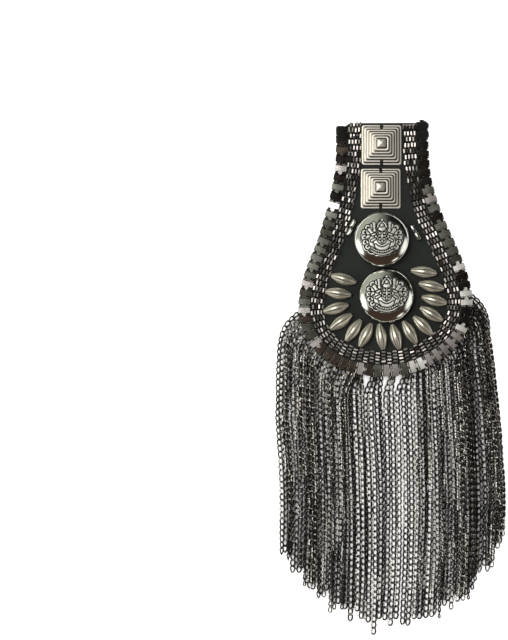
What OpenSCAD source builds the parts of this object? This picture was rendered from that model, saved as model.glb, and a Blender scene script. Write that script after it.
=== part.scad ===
// Tassel epaulette, lying on its back.
// A keyhole-shaped leather pad is edged with a flat-link chain, and four fine chains lie
// inside that. The pad carries two stepped studs, two domed buttons, four tube beads and a
// fan of spindle beads. A fringe of curb chain hangs from its round end, and a bar pin is
// on its back. +Y points to the collar end, +Z away from the shoulder, and the fringe and
// the pin rest on Z = 0.

/* [Pad] */
// Thickness of the leather-covered pad
pad_t = 2; // [1.4:0.1:3]
// Height of the pad's underside above the surface, which the pin takes up
pad_lift = 3.4; // [3.3:0.1:4]
// How far the pad reaches outside the seam between the fine chains and the flat links
pad_reach = 5.2; // [4.6:0.1:5.4]
// Clearance between a piece and the pad that it is sewn to
gap = 0.05; // [0.02:0.01:0.1]

/* [Flat-link edge chain] */
// Width of a flat link, across the chain
link_w = 5.4; // [4.8:0.1:5.6]
// Length of a flat link's plate, along the chain
link_l = 3.3; // [2.8:0.1:3.6]
// Thickness of a flat link
link_t = 1.1; // [0.8:0.1:1.4]
// Width of the neck that joins a flat link to the next
neck_w = 1.7; // [1.2:0.1:2.2]
// How far the neck lies below the plate's face, and above its back
neck_sink = 0.15; // [0.1:0.05:0.3]
// Cut-off at a flat link's corners
link_chamfer = 0.5; // [0.2:0.1:0.8]
// Clearance between the seam and the flat links
link_inset = 0.3; // [0.2:0.1:0.4]

/* [Fine chains] */
// How many fine chains lie side by side
fine_count = 4; // [3:1:4]
// Outer diameter of a fine chain
fine_d = 1.4; // [1.2:0.05:1.4]
// Distance from one fine chain to the next
fine_step = 1.45; // [1.45:0.05:1.5]

/* [Studs] */
// Side of a square stud
stud_w = 17.8; // [16:0.2:18.4]
// Height of a stud's outer rim
stud_rim_h = 1; // [0.8:0.1:1.6]
// How many steps a stud has
stud_steps = 6; // [4:1:6]
// Width of one step
stud_step_w = 1.15; // [1:0.05:1.2]
// Rise of one step
stud_step_h = 0.5; // [0.3:0.05:0.7]
// Corner radius of a stud
stud_r = 1; // [0.6:0.1:1.4]
// Rise of the small pyramid in the middle of a stud
stud_peak_h = 1.2; // [0.8:0.1:1.6]

/* [Buttons] */
// Diameter of a button
button_d = 24.9; // [23:0.1:24.9]
// Height of the dome above the button's widest line
button_dome_h = 4.8; // [4:0.1:6]
// Height of the button's turned-in back, below its widest line
button_back_h = 1; // [0.8:0.1:1.4]
// Diameter of the flat back
button_back_d = 21; // [19:0.5:22]
// Height of the shank between the pad and the back
shank_h = 2.6; // [2.6:0.1:3.2]
// Diameter of the shank
shank_d = 3; // [2.5:0.1:4]

/* [Beads] */
// Length of a spindle bead
spindle_l = 11.7; // [10.5:0.1:11.9]
// Greatest diameter of a spindle bead
spindle_d = 5.6; // [4.6:0.1:5.7]
// Diameter of a spindle bead's ends
spindle_end_d = 1.7; // [1.5:0.1:2]
// Length of a tube bead
tube_l = 3.6; // [3:0.1:3.6]
// Diameter of a tube bead
tube_d = 2.3; // [2:0.1:2.4]
// Diameter of the thread hole in every bead
bore_d = 0.9; // [0.7:0.1:1.1]

/* [Fringe] */
// Thickness of the fringe where its chains lie in layers, at both sides
fringe_side_t = 3.2; // [2.6:0.1:3.2]
// Thickness of the fringe where its chains lie in one layer, in the middle
fringe_middle_t = 1.3; // [1.2:0.1:2]
// How far the fringe reaches outside the seam where it is sewn on under the pad
fringe_root = 4.2; // [3.6:0.1:4.6]
// Length over which the middle chains drop from the pad to the surface
fringe_drop_l = 3.6; // [3:0.1:6]

/* [Bar pin] */
// Length of the pin's bar
pin_l = 28; // [24:1:29]
// Width of the pin's bar
pin_w = 5; // [4:0.5:6]
// Thickness of the pin's bar
pin_bar_t = 0.8; // [0.6:0.1:1]
// Length of the hinge block and of the catch block
pin_block_l = 3.6; // [3:0.1:5]
// Diameter of the pin's wire
pin_wire_d = 1; // [0.8:0.1:1.2]

/* [Hidden] */
top = pad_lift + pad_t + gap;
round_fn = 48;
// Seam between the fine chains and the flat links, from the collar end down the left side,
// round the bottom and up the right side: [across, along]
ROUTE = [
    [-18.5, 115.5], [-18.5, 105], [-19, 95], [-21, 83], [-24, 71.5], [-27.5, 60],
    [-32, 49], [-35, 38], [-35, 27.5], [-30.5, 18], [-22.5, 11.5], [-13, 8],
    [-2, 7], [9, 8.5], [18.5, 13], [26.5, 19.5], [31, 28], [31.5, 37.5],
    [29, 48], [24.5, 59], [19.5, 70], [15.5, 81], [13, 91], [12, 102], [11.5, 115.5]
];
// Studs: [across, along]
STUDS = [[-3.6, 105.5], [-4, 85.9]];
// Buttons: [across, along, lean towards the collar end]
BUTTONS = [[-3.6, 63, 7], [-1.5, 37.8, 4]];
// Tube beads beside the upper button: [across, along, turn]
TUBES = [[-16.4, 70.2, 60], [-17.9, 66.4, 62], [10.7, 67.8, -57], [12.6, 64.5, -61]];
// Spindle beads, clockwise from the upper left when the collar end is up: [across, along, turn]
SPINDLES = [
    [-20.7, 45.2, -16], [-23.1, 38.8, -8], [-24.2, 32, 16], [-21.9, 26, 35],
    [-16.3, 22.1, 55], [-10.8, 20, 63], [-3.8, 19.3, 99], [2.7, 19.3, 106],
    [9, 21.3, 120], [14.9, 24.3, 135], [18.7, 29.5, 149], [20, 35.7, 166],
    [18.7, 42, 168], [15.3, 48.4, 173]
];
// Where the fringe's three parts start and end along the route, by station number
FRINGE_AT = [7.5, 10.2, 14.2, 17.2];
// Outer edges of the fringe's three parts, below the pad: [across, along]
LEFT_EDGE = [
    [-21, -106], [-27, -105], [-33, -99], [-39, -93.5], [-44.5, -87], [-49.5, -79],
    [-50.5, -63], [-51.5, -40], [-52, -18], [-50.5, 3], [-49, 15], [-47.5, 24], [-45, 30]
];
MIDDLE_EDGE = [
    [20, -108], [8.5, -111.5], [-3.5, -110], [-7, -115.5], [-9.5, -110], [-20.8, -107]
];
RIGHT_EDGE = [
    [43.5, 31], [46, 18], [47.5, -3], [50.5, -24], [51.5, -46], [52, -71],
    [47, -84.5], [41.5, -88], [37.5, -95], [33, -100], [28, -104], [20.2, -107]
];
// Sides of a fine chain's tube
fine_sides = 8;
// Rings of a fine chain's tube between two stations of the route
fine_rings = 4;
// Points computed between two stations of the route
edge_steps = 6;
// Slit between the fringe's parts, in stations of the route
fringe_slit = 0.012;
// Centre of the bar pin, under the neck of the pad: [across, along]
PIN_AT = [-3, 84];
// Flat links, which lie a little closer at the bottom than at the collar end: [number of
// a link, distance of its middle from the collar end along the chain]
LINK_AT = [[0, 3.2], [9, 41.4], [18, 78.5], [36, 149.6], [53, 218.6], [66, 273]];
// Names of the four joined stretches of the edge chain
EDGE_PARTS = ["neck_left", "bowl_left", "bowl_right", "neck_right"];

// Point on a smooth curve through the stations of the route
function on_route(t) =
    let (last = len(ROUTE) - 1, i = min(floor(t), last - 1), f = t - i,
         a = ROUTE[max(i - 1, 0)], b = ROUTE[i], c = ROUTE[i + 1], d = ROUTE[min(i + 2, last)])
    (2 * b + (c - a) * f + (2 * a - 5 * b + 4 * c - d) * f * f
        + (3 * b - a - 3 * c + d) * f * f * f) / 2;

// Direction of the route at a station, as a unit vector
function way(t) =
    let (last = len(ROUTE) - 1, e = 0.05, a = on_route(max(t - e, 0)), b = on_route(min(t + e, last)))
    (b - a) / norm(b - a);

// Point beside the route: out is the distance to its outer side
function beside(t, out) = on_route(t) + out * [way(t)[1], -way(t)[0]];

// Points beside the route between two stations
function edge(from, to, out) =
    let (n = ceil((to - from) * edge_steps))
    [for (i = [0 : n]) beside(from + (to - from) * i / n, out)];

// Length along a row of points, up to each of them
function lengths(row) =
    [for (i = 0, s = 0; i < len(row); s = s + norm(row[min(i + 1, len(row) - 1)] - row[i]), i = i + 1) s];

// Places at given lengths along a row of points: [across, along, heading]
function places(row, at) =
    let (s = lengths(row), e = 0.3,
         xs = [for (i = [0 : len(row) - 1]) [s[i], row[i][0]]],
         ys = [for (i = [0 : len(row) - 1]) [s[i], row[i][1]]])
    [for (p = at) [lookup(p, xs), lookup(p, ys),
        atan2(lookup(p + e, ys) - lookup(p - e, ys), lookup(p + e, xs) - lookup(p - e, xs))]];

// Corners of a square with rounded corners
function round_square(w, r) =
    [for (q = [0 : 3], a = [0 : 30 : 90])
        let (c = w / 2 - r, s = q * 90 + 45) [sqrt(2) * c * cos(s) + r * cos(q * 90 + a),
            sqrt(2) * c * sin(s) + r * sin(q * 90 + a)]];

whole = len(ROUTE) - 1;
link_row = edge(0, whole, link_inset + link_w / 2);
link_count = LINK_AT[len(LINK_AT) - 1][0] + 1;
LINKS = places(link_row, [for (i = [0 : link_count - 1]) lookup(i, LINK_AT)]);

module pad() {
    color([0.1, 0.11, 0.1])
        translate([0, 0, pad_lift])
            linear_extrude(pad_t) polygon(edge(0, whole, pad_reach));
}

// One flat link: a plate with cut corners and the neck that hooks into the next link, which
// is pitch further on, or 0 if there is none
module flat_link(pitch) {
    x = link_l / 2;
    y = link_w / 2;
    c = link_chamfer;
    linear_extrude(link_t)
        polygon([[x - c, y], [x, y - c], [x, c - y], [x - c, -y],
            [c - x, -y], [-x, c - y], [-x, y - c], [c - x, y]]);
    if (pitch > 0) translate([0, -neck_w / 2, neck_sink])
        cube([pitch + c - x, neck_w, link_t - 2 * neck_sink]);
}

module edge_chain(part) {
    first = floor(part * link_count / len(EDGE_PARTS));
    last = floor((part + 1) * link_count / len(EDGE_PARTS)) - 1;
    color([0.3, 0.3, 0.31])
        for (i = [first : last])
            translate([LINKS[i][0], LINKS[i][1], top])
                rotate(LINKS[i][2]) flat_link(i < last ? lookup(i + 1, LINK_AT) - lookup(i, LINK_AT) : 0);
}

// A tube of fine_d beside the route, closed at both ends
module tube(out, z) {
    r = fine_d / 2;
    n = whole * fine_rings + 1;
    points = [for (k = [0 : n - 1], a = [0 : fine_sides - 1])
        let (q = 360 * a / fine_sides, p = beside(k / fine_rings, out + r * cos(q)))
        [p[0], p[1], z + r * sin(q)]];
    walls = [for (i = [0 : n - 2], a = [0 : fine_sides - 1])
        let (b = (a + 1) % fine_sides, k = i * fine_sides, m = k + fine_sides)
        [k + a, k + b, m + b, m + a]];
    first_end = [for (a = [fine_sides - 1 : -1 : 0]) a];
    last_end = [for (a = [0 : fine_sides - 1]) (n - 1) * fine_sides + a];
    polyhedron(points, concat(walls, [first_end, last_end]));
}

module fine_chain(i) {
    color([0.45, 0.43, 0.42])
        tube(-fine_step * (i - 0.5), top + fine_d / 2);
}

// A square stud: steps that rise to a small pyramid
module stud(at) {
    peak_w = stud_w - 2 * stud_step_w * stud_steps;
    peak_z = stud_rim_h + stud_step_h * (stud_steps - 1);
    color([0.8, 0.77, 0.7])
        translate([at[0], at[1], top]) {
            for (i = [0 : stud_steps - 1])
                linear_extrude(stud_rim_h + stud_step_h * i)
                    polygon(round_square(stud_w - 2 * stud_step_w * i, stud_r - 0.1 * i));
            translate([0, 0, peak_z]) intersection() {
                rotate([90, 0, 0]) gable(peak_w);
                rotate([90, 0, 90]) gable(peak_w);
            }
        }
}

// A ridge whose crossing with a second one makes the small pyramid
module gable(w) {
    sink = 0.2;
    r = w / 2;
    translate([0, 0, -r])
        linear_extrude(w) polygon([[-r, -sink], [r, -sink], [r, 0], [0, stud_peak_h], [-r, 0]]);
}

// A domed shank button, leaning a little towards the collar end
module button(at) {
    r = button_d / 2;
    sink = 0.5;
    dome = [for (a = [0 : 7.5 : 90]) [r * cos(a), button_back_h + button_dome_h * sin(a)]];
    color([0.72, 0.72, 0.7])
        translate([at[0], at[1], top]) {
            cylinder(d = shank_d, h = shank_h + sink, $fn = round_fn);
            translate([0, 0, shank_h]) rotate([-at[2], 0, 0])
                rotate_extrude($fn = round_fn)
                    polygon(concat([[0, 0], [button_back_d / 2, 0]], dome));
        }
}

// A bead lying on the pad: its profile is turned round its thread hole
module bead(at, d, profile, tone) {
    color(tone)
        translate([at[0], at[1], top + d / 2]) rotate(at[2]) rotate([0, 90, 0])
            rotate_extrude($fn = round_fn) polygon(profile);
}

module tube_bead(at) {
    l = tube_l / 2;
    r = tube_d / 2;
    hole = bore_d / 2;
    bead(at, tube_d, [[hole, -l], [r, -l], [r, l], [hole, l]], [0.75, 0.75, 0.72]);
}

module spindle_bead(at) {
    end = spindle_end_d / 2;
    hole = bore_d / 2;
    l = spindle_l / 2;
    side = [for (a = [-90 : 15 : 90]) [end + (spindle_d / 2 - end) * cos(a), l * a / 90]];
    bead(at, spindle_d, concat([[hole, -l]], side, [[hole, l]]), [0.82, 0.78, 0.66]);
}

// Outer form of one part of the fringe, from under the pad to the chain ends. A part that
// is thinner than the others is as thick as they are where it drops from the pad.
module fringe(part, outline, t) {
    from = FRINGE_AT[part] + fringe_slit;
    to = FRINGE_AT[part + 1] - fringe_slit;
    form = concat(edge(from, to, fringe_root), outline);
    color([0.33, 0.33, 0.34]) {
        linear_extrude(t) polygon(form);
        if (t < fringe_side_t)
            linear_extrude(fringe_side_t) intersection() {
                polygon(form);
                difference() {
                    polygon(edge(0, whole, fringe_root + fringe_drop_l));
                    polygon(edge(0, whole, fringe_root - 1));
                }
            }
    }
}

module bar_pin() {
    h = pad_lift - gap;
    color([0.7, 0.7, 0.72])
        translate([PIN_AT[0] - pin_l / 2, PIN_AT[1], 0]) {
            translate([0, -pin_w / 2, h - pin_bar_t]) cube([pin_l, pin_w, pin_bar_t]);
            for (x = [0, pin_l - pin_block_l])
                translate([x, -pin_w / 2, 0]) cube([pin_block_l, pin_w, h - pin_bar_t / 2]);
            translate([pin_block_l / 2, 0, pin_wire_d])
                rotate([0, 90, 0]) cylinder(d = pin_wire_d, h = pin_l - pin_block_l, $fn = round_fn);
        }
}

pad();
stud(STUDS[0]);  // stud_upper
stud(STUDS[1]);  // stud_lower
button(BUTTONS[0]);  // button_upper
button(BUTTONS[1]);  // button_lower
for (i = [0 : len(EDGE_PARTS) - 1])
    edge_chain(i);
for (i = [1 : fine_count])
    fine_chain(i);
for (i = [1 : len(TUBES)])
    tube_bead(TUBES[i - 1]);
for (i = [1 : len(SPINDLES)])
    spindle_bead(SPINDLES[i - 1]);
fringe(0, LEFT_EDGE, fringe_side_t);  // fringe_left
fringe(1, MIDDLE_EDGE, fringe_middle_t);  // fringe_middle
fringe(2, RIGHT_EDGE, fringe_side_t);  // fringe_right
bar_pin();
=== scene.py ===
import math
import random
from contextlib import contextmanager

import bmesh
import bpy
import numpy as np
from mathutils import Matrix, Vector, noise

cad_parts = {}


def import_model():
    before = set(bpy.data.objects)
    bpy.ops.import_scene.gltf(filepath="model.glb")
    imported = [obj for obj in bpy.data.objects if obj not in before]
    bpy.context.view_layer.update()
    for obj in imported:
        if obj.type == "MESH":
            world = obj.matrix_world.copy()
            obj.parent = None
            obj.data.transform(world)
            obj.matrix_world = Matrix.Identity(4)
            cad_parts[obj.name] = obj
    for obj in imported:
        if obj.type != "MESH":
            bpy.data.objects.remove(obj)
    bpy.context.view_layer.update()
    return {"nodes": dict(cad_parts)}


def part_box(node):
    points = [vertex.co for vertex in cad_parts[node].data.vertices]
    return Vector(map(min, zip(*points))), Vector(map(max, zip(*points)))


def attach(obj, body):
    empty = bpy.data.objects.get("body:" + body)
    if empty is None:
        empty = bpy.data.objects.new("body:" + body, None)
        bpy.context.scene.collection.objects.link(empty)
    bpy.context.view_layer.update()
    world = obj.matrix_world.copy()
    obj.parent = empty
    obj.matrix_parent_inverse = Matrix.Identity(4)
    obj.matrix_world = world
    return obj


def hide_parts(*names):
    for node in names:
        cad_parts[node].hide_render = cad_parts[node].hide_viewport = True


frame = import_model()

bl_info = {
    "name": "Tassel epaulette",
    "version": (1, 0, 0),
    "blender": (4, 5, 0),
    "location": "View3D > Sidebar > Epaulette",
    "description": "Builds the visible pieces of a chain-fringed epaulette around its CAD frame",
    "category": "Object",
}

MM = 0.001

# Brightness of a copy that is neither darker nor lighter than its material
MIDDLE_TONE = 0.5

# Seam between the fine chains and the flat links, from the collar end down the left side,
# round the bottom and up the right side: across and along, in millimetres, as in the CAD
ROUTE = [
    (-18.5, 115.5), (-18.5, 105), (-19, 95), (-21, 83), (-24, 71.5), (-27.5, 60),
    (-32, 49), (-35, 38), (-35, 27.5), (-30.5, 18), (-22.5, 11.5), (-13, 8),
    (-2, 7), (9, 8.5), (18.5, 13), (26.5, 19.5), (31, 28), (31.5, 37.5),
    (29, 48), (24.5, 59), (19.5, 70), (15.5, 81), (13, 91), (12, 102), (11.5, 115.5),
]
EDGE_PARTS = ("neck_left", "bowl_left", "bowl_right", "neck_right")

# Shanks of the two buttons: node, across and along in millimetres, lean in degrees
BUTTONS = (("button_upper", -3.6, 63.0, 7.0), ("button_lower", -1.5, 37.8, 4.0))

# Turn of each bead about the upright, in degrees
TUBE_TURNS = {f"tube_bead_{i}": turn for i, turn in enumerate((60, 62, -57, -61), 1)}
SPINDLE_TURNS = {f"spindle_bead_{i}": turn for i, turn in enumerate(
    (-16, -8, 16, 35, 55, 63, 99, 106, 120, 135, 149, 166, 168, 173), 1)}
BEAD_TURNS = {**SPINDLE_TURNS, **TUBE_TURNS}

# Flat links: number of a link and distance of its middle from the collar end, as in the CAD
LINK_AT = ((0, 3.2), (9, 41.4), (18, 78.5), (36, 149.6), (53, 218.6), (66, 273.0))

# How each flat link is tipped, from the upper left: k is tipped away from the key light and
# looks black, b brown, o dark olive, g grey, p a warm grey, s silver, and w faces the light
# Each letter also picks the link's colour through TIPS, darker or lighter to match its lean: painted light
# and shade.
LINK_TIPS = "kkbkskgkwgoogggggsogsboosbbbbbsbgssgwwpppppwkkwwkkwoggggkgsgkkkkkkk"

# Leans of the flat links and their hues: share of the way towards facing the key light, hue
# The hue is painted light and shade: it sets the link's colour from near black, for links tipped away from
# the light, to near white, for those facing it.
TIPS = {
    "k": (-0.48, 0.06), "b": (-0.30, 0.2), "o": (-0.32, 0.38), "g": (-0.2, 0.46),
    "p": (-0.08, 0.8), "s": (-0.11, 0.86), "w": (0.08, 0.96),
}

# How the fine chains face the key light: share of the way round, share of the way towards the light
FINE_FACING = [
    (0.0, 0.2), (0.03, 0.15), (0.05, -0.3), (0.13, -0.25), (0.2, -0.15), (0.3, -0.1),
    (0.42, -0.02), (0.5, 0.04), (0.56, 0.1), (0.62, 0.15), (0.83, 0.12), (0.86, -0.3),
    (0.91, -0.3), (0.925, 0.22), (0.98, 0.22), (1.0, -0.2),
]

# Ends of the fringe chains on top, from left to right: across and along in millimetres
CHAIN_ENDS = [
    (-49.5, -79.5), (-46.5, -82), (-44.5, -87.5), (-41.5, -87.5), (-39, -93.5),
    (-36.5, -94.5), (-35, -95), (-32.5, -99), (-30, -98.5), (-27, -105.5),
    (-25, -104), (-21.5, -104), (-20, -104), (-17.5, -109.5), (-14.5, -105),
    (-12.5, -108.5), (-9.5, -110), (-7, -115.5), (-4.5, -108.5), (-2, -109),
    (0.5, -111.5), (3, -108.5), (6, -111), (8.5, -111.5), (11, -108.5),
    (13.5, -108.5), (16.5, -108), (19, -107.5), (22.5, -108), (25, -102.5),
    (28, -104), (31, -100.5), (33.5, -100), (36, -99.5), (38, -95), (39, -91),
    (41.5, -87.5), (45, -87), (47, -85), (49.5, -76.5), (50.5, -74.5), (52, -71),
]

# Middle chains: across at the end, shift sideways from there to MID_Y, and across where the
# chain is hooked on under the pad
MIDDLE_CHAINS = [
    (-17.5, -1.4, -14.5), (-14.5, -1.0, -13.5), (-12.5, -0.8, -12.8), (-9.5, -0.9, -6.8),
    (-7, -0.9, -5.6), (-4.5, -0.8, -4.6), (-2, 0.8, 1.4), (0.5, 0.9, 2.1),
    (3, 0.9, 7.7), (6, 0.8, 8.7), (8.5, 0.9, 9.6), (11, 1.1, 11.8), (13.5, 1.4, 14.2),
    (16.5, 1.3, 16.6),
]
MID_Y = -18 * MM

# Chains that lie turned on edge between the middle chains: the same, and the turn in degrees
TURNED_CHAINS = [
    (-16.0, -1.0, -14.1, 62), (-11.0, -1.0, -13.2, -66), (-3.4, -0.1, -3.5, 70),
    (12.2, 1.2, 13.0, -60), (15.0, 1.2, 15.4, 58),
]

# Lumps of thread at the collar end: across and along, half width, half length, height, in millimetres
WRAPS = (
    (-21.7, 112.5, 2.3, 1.5, 1.0), (-21.5, 109.3, 2.6, 1.8, 1.1), (14.7, 114.2, 2.9, 2.0, 1.3),
    (14.8, 110.2, 2.9, 2.2, 1.3), (-15.6, 108.9, 3.0, 0.7, 0.5), (8.8, 112.4, 3.1, 1.0, 0.4),
)

# Where the key light is, and how far a plate leans towards X and Y in degrees to mirror it
KEY = Vector((-0.26, 0.16, 1.0)).normalized()
FACING_KEY = (-8.3, 5.0)

# Lights on the studio's walls: direction, where the light starts and is full, as cosines, radiance
WALL_LIGHTS = (
    ((-0.75, 0.55, 0.30), (0.35, 0.90), (0.44, 0.47, 0.38)),
    ((-0.93, -0.20, 0.42), (0.92, 0.98), (2.4, 2.4, 2.25)),
    ((0.93, -0.14, 0.40), (0.91, 0.98), (1.25, 1.25, 1.18)),
    ((0.60, -0.72, 0.42), (0.984, 0.995), (1.25, 1.25, 1.15)),
    ((-0.26, 0.16, 1.0), (0.906, 0.996), (0.9, 0.89, 0.86)),
)


# Sizes and colours that a user would change

def length(name, description, default):
    return bpy.props.FloatProperty(
        name=name, description=description, default=default, min=0.0, max=1.0, precision=5, unit="LENGTH")


def number(name, description, default, low, high):
    return bpy.props.IntProperty(name=name, description=description, default=default, min=low, max=high)


def colour(name, description, default):
    return bpy.props.FloatVectorProperty(
        name=name, description=description, default=default, min=0.0, max=1.0, size=3, subtype="COLOR")


class PadSettings(bpy.types.PropertyGroup):
    reach: length("Reach", "How far the pad reaches outside the seam", 5.2 * MM)
    voxel: length("Mesh size", "Size of the mesh that rounds the pad's rim", 0.62 * MM)
    swell: length("Swell", "Height of the leather's slow rises and dips", 0.12 * MM)
    leather: colour("Leather", "Colour of the leather", (0.017, 0.020, 0.018))
    worn: colour("Worn leather", "Colour where the leather is rubbed", (0.034, 0.040, 0.036))


class ChainSettings(bpy.types.PropertyGroup):
    link_width: length("Flat link width", "Width of a flat link", 5.4 * MM)
    link_length: length("Flat link length", "Length of a flat link's plate", 3.3 * MM)
    link_thickness: length("Flat link thickness", "Thickness of a flat link", 1.1 * MM)
    link_inset: length("Flat link inset", "Clearance between seam and flat links", 0.3 * MM)
    neck_width: length("Neck width", "Width of a flat link's neck", 1.8 * MM)
    fine_count: number("Fine chains", "Number of fine chains side by side", 4, 1, 4)
    fine_width: length("Fine link width", "Width of a fine chain's link", 1.44 * MM)
    fine_length: length("Fine link length", "Length of a fine chain's link", 2.42 * MM)
    fine_wire: length("Fine wire", "Thickness of a fine link's wire, seen from its open side", 0.42 * MM)
    fine_edge: length("Fine edge", "Thickness of a fine link, seen on edge", 0.66 * MM)
    fine_pitch: length("Fine pitch", "Distance between fine links", 2.65 * MM)
    fine_step: length("Fine step", "Distance between fine chains", 1.45 * MM)
    fine_zigzag: length("Fine zigzag", "How far every other fine link lies aside", 0.34 * MM)
    fine_colour: colour("Fine chains", "Colour of the gunmetal", (0.37, 0.34, 0.315))


class OrnamentSettings(bpy.types.PropertyGroup):
    stud_steps: number("Stud steps", "Number of steps of a stud", 6, 2, 6)
    stud_tread: length("Stud tread", "Flat part of each step", 0.80 * MM)
    stud_riser: length("Stud riser", "Width of each step's slope", 0.35 * MM)
    stud_rise: length("Stud rise", "Height of each step", 0.5 * MM)
    stud_lean: length("Stud lean", "How far the top leans towards the collar end", 0.9 * MM)
    stud_colour: colour("Stud", "Colour of the warm silver", (0.80, 0.755, 0.67))
    button_diameter: length("Button", "Diameter of a button", 24.9 * MM)
    button_dome: length("Dome", "Height of the dome", 4.65 * MM)
    button_back: length("Back", "Height of the turned-in back", 1.0 * MM)
    shank: length("Shank", "Height of the shank", 2.6 * MM)
    relief: length("Relief", "Height of the crest", 0.5 * MM)
    button_colour: colour("Button", "Colour of the silver", (0.80, 0.80, 0.76))
    spindle_length: length("Bead length", "Length of a spindle bead", 11.7 * MM)
    spindle_end: length("Bead end", "Diameter of a spindle bead's ends", 1.7 * MM)
    spindle_ribs: number("Bead ribs", "Number of ribs round a spindle bead", 7, 4, 16)
    spindle_colour: colour("Spindle beads", "Colour of the champagne silver", (0.97, 0.91, 0.76))
    tube_length: length("Tube length", "Length of a tube bead", 3.6 * MM)
    tube_colour: colour("Tube beads", "Colour of the tube beads", (0.80, 0.80, 0.77))
    thread_hole: length("Thread hole", "Diameter of the thread hole in every bead", 0.9 * MM)
    # Colour of the painted shade in the outlines round the buttons' crest
    painted_shade_colour: colour("Darkened hollows", "Colour of the blackened hollows", (0.012, 0.010, 0.009))
    thread: length("Thread", "Thickness of the sewing thread", 0.34 * MM)
    thread_colour: colour("Thread colour", "Colour of the sewing thread", (0.012, 0.012, 0.012))
    pin_colour: colour("Pin", "Colour of the nickel", (0.62, 0.61, 0.58))


class FringeSettings(bpy.types.PropertyGroup):
    pitch: length("Pitch", "Distance between links", 2.72 * MM)
    half_width: length("Half width", "Half width of a link, to its wire", 0.99 * MM)
    half_length: length("Half length", "Half length of a link, to its wire", 1.6 * MM)
    wire: length("Wire", "Thickness of the wire", 0.76 * MM)
    twist: length("Twist", "How far a link's loop rises where it crosses the next", 0.6 * MM)
    layer: length("Layer", "Height from one layer of chains to the next", 0.98 * MM)
    colour: colour("Fringe", "Colour of the gunmetal", (0.31, 0.292, 0.27))


class StageSettings(bpy.types.PropertyGroup):
    pixel: length("Photo pixel", "Real size of a photo pixel at the pad", 0.45 * MM)
    lens: bpy.props.FloatProperty(name="Lens", description="Focal length in millimetres", default=200.0)
    floor: colour("Floor", "Colour of the floor", (0.9, 0.9, 0.9))


# The route that all the chains follow

def running(points):
    """Distance along a line to each of its points."""
    return np.concatenate([[0], np.cumsum(np.linalg.norm(np.diff(points, axis=0), axis=1))])


class Route:
    """A smooth curve through the stations of ROUTE, in metres."""

    def __init__(self, stations):
        self.points = np.array(stations, float) * MM
        self.last = len(stations) - 1

    def at(self, t):
        """Point of the curve at a station, which may lie between two of them."""
        i = min(int(t), self.last - 1)
        f = t - i
        a = self.points[max(i - 1, 0)]
        b = self.points[i]
        c = self.points[i + 1]
        d = self.points[min(i + 2, self.last)]
        return (2 * b + (c - a) * f + (2 * a - 5 * b + 4 * c - d) * f * f
                + (3 * b - a - 3 * c + d) * f ** 3) / 2

    def way(self, t):
        """Direction of the curve, of length 1."""
        step = self.at(min(t + 0.05, self.last)) - self.at(max(t - 0.05, 0))
        return step / np.linalg.norm(step)

    def heading(self, t):
        way = self.way(t)
        return math.atan2(way[1], way[0])

    def outwards(self, t):
        """Direction to the outer side of the curve, of length 1."""
        way = self.way(t)
        return np.array([way[1], -way[0]])

    def beside(self, t, out):
        """Point at a distance from the curve, towards its outer side."""
        return self.at(t) + out * self.outwards(t)

    def side(self, out, start=0.0, end=None, steps=400):
        """Stations, points and running lengths of the curve at that distance."""
        stations = np.linspace(start, self.last if end is None else end, steps)
        points = np.array([self.beside(t, out) for t in stations])
        return stations, points, running(points)


route = Route(ROUTE)

# Line outside the seam where the fringe hooks on under the pad, round the pad's lower end
HOOKS_OUT = 3.2 * MM
HOOK_STATIONS, HOOK_LINE, _ = route.side(HOOKS_OUT, 7.6, 17.1)


# Small helpers for modelling

def select_only(obj):
    bpy.ops.object.select_all(action="DESELECT")
    obj.select_set(True)
    bpy.context.view_layer.objects.active = obj


def added(add, **values):
    """The object that an operator for a primitive adds, with its transforms applied."""
    bpy.ops.object.select_all(action="DESELECT")
    add(**values)
    bpy.ops.object.transform_apply(location=True, rotation=True, scale=True)
    return bpy.context.object


def cuboid(sides, centre):
    return added(bpy.ops.mesh.primitive_cube_add, size=1, location=centre, scale=sides)


@contextmanager
def editing(obj, mode="FACE"):
    """Edit mode on one object, with all of it selected at the start."""
    select_only(obj)
    bpy.ops.object.mode_set(mode="EDIT")
    bpy.ops.mesh.select_mode(type=mode)
    bpy.ops.mesh.select_all(action="SELECT")
    yield obj
    bpy.ops.object.mode_set(mode="OBJECT")


def pick_open_edges(obj):
    """Selects the open rim of a mesh in edit mode."""
    mesh = bmesh.from_edit_mesh(obj.data)
    for edge in mesh.edges:
        edge.select_set(edge.is_boundary)
    mesh.select_flush_mode()
    bmesh.update_edit_mesh(obj.data)


def add_modifier(obj, kind, **values):
    """Adds a modifier with these values and applies it."""
    select_only(obj)
    modifier = obj.modifiers.new(kind.title(), kind)
    for key, value in values.items():
        setattr(modifier, key, value)
    bpy.ops.object.modifier_apply(modifier=modifier.name)


def joined(objects):
    """The first of the objects, with the others joined to it."""
    bpy.ops.object.select_all(action="DESELECT")
    for obj in objects:
        obj.select_set(True)
    bpy.context.view_layer.objects.active = objects[0]
    bpy.ops.object.join()
    return bpy.context.object


def points_of(obj):
    co = np.zeros(len(obj.data.vertices) * 3)
    obj.data.vertices.foreach_get("co", co)
    return co.reshape(-1, 3)


def set_points(obj, points):
    obj.data.vertices.foreach_set("co", np.asarray(points, float).ravel())
    obj.data.update()


def set_attribute(obj, name, values):
    """Stores one number for each vertex, for a material to read."""
    layer = obj.data.attributes.get(name) or obj.data.attributes.new(name, "FLOAT", "POINT")
    layer.data.foreach_set("value", np.asarray(values, np.float32))


def extrude_to(obj, before, after):
    """Extrudes the selected vertices, which lie at the points before, to the points after."""
    bpy.ops.mesh.extrude_region_move()
    mesh = bmesh.from_edit_mesh(obj.data)
    for v in mesh.verts:
        if v.select:
            v.co = after[np.argmin(np.linalg.norm(before - np.array(v.co), axis=1))]
    bmesh.update_edit_mesh(obj.data)


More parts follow.
